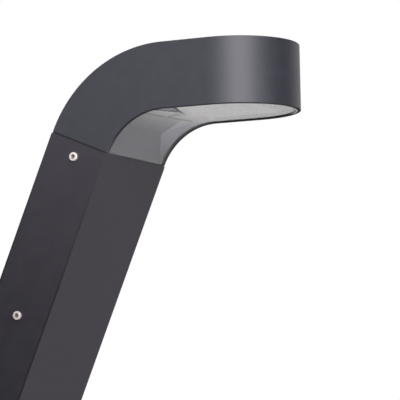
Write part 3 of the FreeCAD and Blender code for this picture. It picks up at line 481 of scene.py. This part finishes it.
def moulded_plastic(name, low, high, roughness):
    """Moulded plastic with a fine eroded texture."""
    material, tree, shader = new_material(name)
    patch = noise(tree, scale=120.0)
    grain = noise(tree, scale=3000.0, detail=2.0)
    feed(tree, shader, "Base Color", two_tone(tree, patch, low, high))
    feed(tree, shader, "Roughness", spread(tree, grain, roughness - 0.06, roughness + 0.06))
    bump(tree, shader, grain, strength=0.08, distance=0.0001)
    return material


def bare_metal(name, low, high, roughness):
    """Bare or plated metal with fine drawing marks."""
    material, tree, shader = new_material(name)
    patch = noise(tree, scale=400.0)
    marks = noise(tree, scale=5200.0, detail=2.0)
    feed(tree, shader, "Base Color", two_tone(tree, patch, low, high))
    shader.inputs["Metallic"].default_value = 1.0
    feed(tree, shader, "Roughness", spread(tree, marks, roughness - 0.06, roughness + 0.08))
    bump(tree, shader, marks, strength=0.05, distance=0.0001)
    return material


def emitter():
    """Light-emitting chip: round yellow phosphor in a white frame."""
    material, tree, shader = new_material("emitter")
    x, y, _ = axes(tree)
    along = from_pitch(tree, x, BOARD_MIDDLE_X, EMITTER_PITCH_LONG)
    across = from_pitch(tree, y, 0.0, EMITTER_PITCH_WIDE)
    share = calculate(tree, "DIVIDE", length_of(tree, along, across), PHOSPHOR_REACH)
    phosphor = [(0.40, (0.84, 0.58, 0.12)), (0.60, (0.88, 0.66, 0.20)), (0.66, (0.80, 0.80, 0.78))]
    feed(tree, shader, "Base Color", ramp(tree, share, phosphor))
    feed(tree, shader, "Roughness", spread(tree, noise(tree, scale=900.0), 0.25, 0.4))
    return material


def white_board():
    """White circuit board: tracks along the rows of chips show faintly through the mask."""
    material, tree, shader = new_material("white_board")
    _, y, _ = axes(tree)
    across = calculate(tree, "ABSOLUTE", from_pitch(tree, y, 0.0, EMITTER_PITCH_WIDE))
    share = calculate(tree, "DIVIDE", across, TRACK_REACH)
    tracks = [(0.10, (0.74, 0.74, 0.71)), (0.15, (0.81, 0.81, 0.79)), (0.9, (0.84, 0.84, 0.82))]
    feed(tree, shader, "Base Color", ramp(tree, share, tracks))
    feed(tree, shader, "Roughness", spread(tree, noise(tree, scale=200.0), 0.3, 0.42))
    return material


# Materials of the record's slots

MATERIALS = {
    "coated_metal": head_coat(),
    "seal": rubber("seal", (0.010, 0.010, 0.011), (0.022, 0.022, 0.024)),
    "clear_plastic": clear_plastic(),
    "black_plastic": moulded_plastic("black_plastic", (0.008, 0.008, 0.009), (0.016, 0.016, 0.018), 0.5),
    "stainless": bare_metal("stainless", (0.66, 0.61, 0.60), (0.76, 0.71, 0.69), 0.64),
    "grey_sheet": grey_sheet(),
    "grey_pad": moulded_plastic("grey_pad", (0.36, 0.37, 0.39), (0.46, 0.47, 0.49), 0.75),
    "white_board": white_board(),
    "emitter": emitter(),
    "white_plastic": moulded_plastic("white_plastic", (0.70, 0.70, 0.69), (0.78, 0.78, 0.77), 0.5),
    "zinc_steel": bare_metal("zinc_steel", (0.50, 0.51, 0.52), (0.64, 0.65, 0.66), 0.36),
    "brown_sleeve": moulded_plastic("brown_sleeve", (0.20, 0.09, 0.04), (0.26, 0.12, 0.05), 0.45),
    "blue_sleeve": moulded_plastic("blue_sleeve", (0.03, 0.11, 0.42), (0.04, 0.14, 0.50), 0.45),
    "green_sleeve": moulded_plastic("green_sleeve", (0.10, 0.36, 0.07), (0.14, 0.44, 0.10), 0.45),
}

# Darker metal on the screws' socket faces: painted shade in the recess
SOCKET_SHADE_METAL = bare_metal("socket", (0.22, 0.18, 0.16), (0.30, 0.25, 0.23), 0.6)


def dress_nodes():
    """Give every CAD node the material of its slot, and the arm and two seals one of their own."""
    for entry in frame["record"]["subparts"]:
        mesh = NODES[entry["node"]].data
        mesh.materials.clear()
        mesh.materials.append(MATERIALS[entry["material_slot"]])
    NODES["arm_tube"].data.materials[0] = arm_coat()
    NODES["joint_gasket"].data.materials[0] = joint_seal()
    NODES["window_gasket"].data.materials[0] = window_seal()


# Meshes and objects

def mesh_from(form, name):
    """Mesh with a name from a finished form."""
    mesh = bpy.data.meshes.new(name)
    form.to_mesh(mesh)
    form.free()
    return mesh


def new_object(name, data):
    """New object in the scene."""
    thing = bpy.data.objects.new(name, data)
    bpy.context.scene.collection.objects.link(thing)
    return thing


# Side screws

def hexagon_radius(angle):
    """Distance from the socket's axis to its wall."""
    sixth = math.radians(60)
    return SOCKET_FLATS / 2 / math.cos((angle + sixth / 2) % sixth - sixth / 2)


def countersunk_radius(angle):
    """Distance from the axis to the edge of the socket's bevel."""
    return hexagon_radius(angle) + SOCKET_BEVEL


def screw_profile():
    """Rings of a screw from the socket's floor to the shank's tip: height and radius."""
    rings = [
        (SCREW_HEAD_HEIGHT - SOCKET_DEPTH, hexagon_radius),
        (SCREW_HEAD_HEIGHT - SOCKET_BEVEL, hexagon_radius),
        (SCREW_HEAD_HEIGHT, countersunk_radius),
    ]
    for step in range(ROUND_STEPS + 1):
        turn = math.radians(90 * step / ROUND_STEPS)
        rings.append((SCREW_HEAD_HEIGHT - SCREW_HEAD_ROUND * (1 - math.cos(turn)),
                      SCREW_HEAD_RADIUS - SCREW_HEAD_ROUND * (1 - math.sin(turn))))
    rings.append((0.0, SCREW_HEAD_RADIUS))
    rings.append((0.0, SHANK_RADIUS))
    for step in range(1, 2 * THREAD_TURNS):
        root = THREAD_DEPTH if step % 2 else 0.0
        rings.append((-SHANK_LENGTH * step / (2 * THREAD_TURNS), SHANK_RADIUS - root))
    rings.append((-SHANK_LENGTH, SHANK_RADIUS - THREAD_DEPTH))
    return rings


def screw_loop(form, place, side, height, radius):
    """Ring of points round a screw's axis."""
    loop = []
    for step in range(RING_POINTS):
        angle = 2 * math.pi * step / RING_POINTS
        reach = radius(angle) if callable(radius) else radius
        x = place[0] + reach * math.cos(angle)
        z = place[1] + reach * math.sin(angle)
        loop.append(form.verts.new((x, side * (ARM_HALF_WIDTH + height), z)))
    return loop


def add_screw_rings(form, place, side):
    """One screw, its head outwards on one side of the arm."""
    loops = [screw_loop(form, place, side, height, radius) for height, radius in screw_profile()]
    for row, (inner, outer) in enumerate(zip(loops, loops[1:])):
        for step in range(RING_POINTS):
            follow = (step + 1) % RING_POINTS
            face = form.faces.new((inner[step], inner[follow], outer[follow], outer[step]))
            # The socket's faces take the darker metal of the painted shade
            face.material_index = 1 if row < SOCKET_ROWS else 0
            face.smooth = True
    form.faces.new(loops[0]).material_index = 1
    form.faces.new(loops[-1])


def add_side_screws(node):
    """Pair of socket screws in place of the plain solids."""
    low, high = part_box(node)
    place = ((low[0] + high[0]) / 2, (low[2] + high[2]) / 2)
    form = bmesh.new()
    for side in SIDES:
        add_screw_rings(form, place, side)
    bmesh.ops.recalc_face_normals(form, faces=form.faces)
    mesh = mesh_from(form, node + "_look")
    mesh.set_sharp_from_angle(angle=SHARP_ANGLE)
    mesh.materials.append(MATERIALS["stainless"])
    mesh.materials.append(SOCKET_SHADE_METAL)
    piece = new_object(node + "_look", mesh)
    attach(piece, "root")
    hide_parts(node)


# Stage, light and camera

def floor_glow(tree):
    """Strength that keeps the floor pale to the eye, and pale far off in reflections."""
    reach = tree.nodes.new("ShaderNodeVectorMath")
    reach.operation = "LENGTH"
    tree.links.new(object_coordinates(tree), reach.inputs[0])
    far = calculate(tree, "MULTIPLY", limits(tree, reach.outputs["Value"], *FLOOR_FAR_BAND), FLOOR_MIRRORED)
    path = tree.nodes.new("ShaderNodeLightPath")
    mirrored = calculate(tree, "MULTIPLY", path.outputs["Is Glossy Ray"], far)
    seen = calculate(tree, "MULTIPLY", path.outputs["Is Camera Ray"], FLOOR_SEEN)
    return calculate(tree, "ADD", mirrored, seen)


def hide_from_below(tree, shader):
    """Make a surface clear from its back."""
    clear = tree.nodes.new("ShaderNodeBsdfTransparent")
    choice = tree.nodes.new("ShaderNodeMixShader")
    tree.links.new(tree.nodes.new("ShaderNodeNewGeometry").outputs["Backfacing"], choice.inputs["Fac"])
    tree.links.new(shader.outputs["BSDF"], choice.inputs[1])
    tree.links.new(clear.outputs["BSDF"], choice.inputs[2])
    tree.links.new(choice.outputs["Shader"], tree.nodes["Material Output"].inputs["Surface"])


def floor_material():
    """Pale floor that shows only its upper face, so that the underside can be looked at."""
    material, tree, shader = new_material("floor")
    white = (1.0, 1.0, 1.0)
    rosy = (1.0, 0.93, 0.95)
    patch = noise(tree, scale=3.0, detail=3.0)
    feed(tree, shader, "Base Color", two_tone(tree, patch, (0.78, 0.78, 0.78), (0.80, 0.80, 0.80)))
    shader.inputs["Roughness"].default_value = 0.9
    path = tree.nodes.new("ShaderNodeLightPath")
    feed(tree, shader, "Emission Color", mix_colour(tree, path.outputs["Is Glossy Ray"], white, rosy))
    feed(tree, shader, "Emission Strength", floor_glow(tree))
    hide_from_below(tree, shader)
    return material


def add_floor():
    """Plain pale floor below the light."""
    form = bmesh.new()
    bmesh.ops.create_circle(form, cap_ends=True, radius=FLOOR_RADIUS, segments=FLOOR_POINTS)
    mesh = mesh_from(form, "floor")
    mesh.materials.append(floor_material())
    floor = new_object("floor", mesh)
    floor.location.z = FLOOR_Z


def toward(azimuth, elevation=0.0):
    """Direction from the head to a place round it: azimuth 0 is the near side and 90 the front."""
    turn = math.radians(azimuth)
    lift = math.radians(elevation)
    return Vector((math.sin(turn) * math.cos(lift), -math.cos(turn) * math.cos(lift), math.sin(lift)))


def set_facing_head(thing, direction, distance):
    """Put a light or a card in a direction from the bend, facing it and unseen by the camera."""
    thing.location = BEND_CENTRE + direction * distance
    thing.rotation_euler = direction.to_track_quat("Z", "Y").to_euler()
    thing.visible_camera = False


def black_cloth(name):
    """Black cloth of a card."""
    material, tree, shader = new_material(name)
    cloth = noise(tree, scale=400.0, detail=3.0)
    feed(tree, shader, "Base Color", two_tone(tree, cloth, (0.004, 0.004, 0.004), (0.008, 0.008, 0.008)))
    shader.inputs["Roughness"].default_value = 0.95
    return material


def add_flag(name, azimuth, height, distance, width, length):
    """Black card beside the light that the camera does not see, to shape the reflections."""
    form = bmesh.new()
    bmesh.ops.create_grid(form, x_segments=2, y_segments=2, size=0.5)
    bmesh.ops.scale(form, vec=(width, length, 1.0), verts=form.verts)
    mesh = mesh_from(form, name)
    mesh.materials.append(black_cloth(name))
    card = new_object(name, mesh)
    set_facing_head(card, toward(azimuth), distance)
    card.location.z += height


def add_world():
    """White background to look at and to reflect, and a softer grey as fill light."""
    world = bpy.data.worlds.new("studio")
    world.use_nodes = True
    tree = world.node_tree
    path = tree.nodes.new("ShaderNodeLightPath")
    seen = calculate(tree, "MAXIMUM", path.outputs["Is Camera Ray"], path.outputs["Is Glossy Ray"])
    seen = calculate(tree, "MAXIMUM", seen, path.outputs["Is Transmission Ray"])
    direct = calculate(tree, "LESS_THAN", path.outputs["Diffuse Depth"], 0.5)
    plain = calculate(tree, "MULTIPLY", seen, direct)
    background = tree.nodes["Background"]
    tree.links.new(spread(tree, plain, FILL_STRENGTH, 1.0), background.inputs["Strength"])
    background.inputs["Color"].default_value = (1.0, 1.0, 1.0, 1.0)
    bpy.context.scene.world = world


def add_softbox(name, azimuth, elevation, distance, width, height, power):
    """Area light aimed at the head."""
    light = bpy.data.lights.new(name, "AREA")
    light.shape = "RECTANGLE"
    light.size = width
    light.size_y = height
    light.energy = power
    set_facing_head(new_object(name, light), toward(azimuth, elevation), distance)


def add_camera():
    """Camera at the photo's viewpoint: a long lens a little below the head."""
    back = toward(CAMERA_AZIMUTH, -CAMERA_DIP)
    right = toward(CAMERA_AZIMUTH + 90)
    up = back.cross(right)
    side = right * math.cos(CAMERA_ROLL) + up * math.sin(CAMERA_ROLL)
    top = up * math.cos(CAMERA_ROLL) - right * math.sin(CAMERA_ROLL)
    place = BEND_CENTRE + back * CAMERA_DISTANCE + side * CAMERA_ASIDE - top * CAMERA_DOWN
    data = bpy.data.cameras.new("camera")
    data.sensor_width = CAMERA_SENSOR
    data.lens = CAMERA_LENS
    data.clip_start = CAMERA_NEAREST
    data.clip_end = CAMERA_FURTHEST
    camera = new_object("camera", data)
    camera.matrix_world = Matrix((
        (side.x, top.x, back.x, place.x),
        (side.y, top.y, back.y, place.y),
        (side.z, top.z, back.z, place.z),
        (0.0, 0.0, 0.0, 1.0),
    ))
    bpy.context.scene.camera = camera


dress_nodes()
for screw_node in ("joint_screws", "bracket_screws"):
    add_side_screws(screw_node)
add_floor()
add_world()
add_softbox("key", azimuth=34.0, elevation=14.0, distance=1.4, width=1.07, height=1.4, power=32.6)
add_flag("right_flag", azimuth=112.0, height=0.1, distance=0.95, width=0.92, length=1.8)
add_flag("left_flag", azimuth=-30.0, height=-0.28, distance=0.55, width=0.9, length=0.6)
add_camera()
bpy.context.scene.view_settings.view_transform = "Standard"
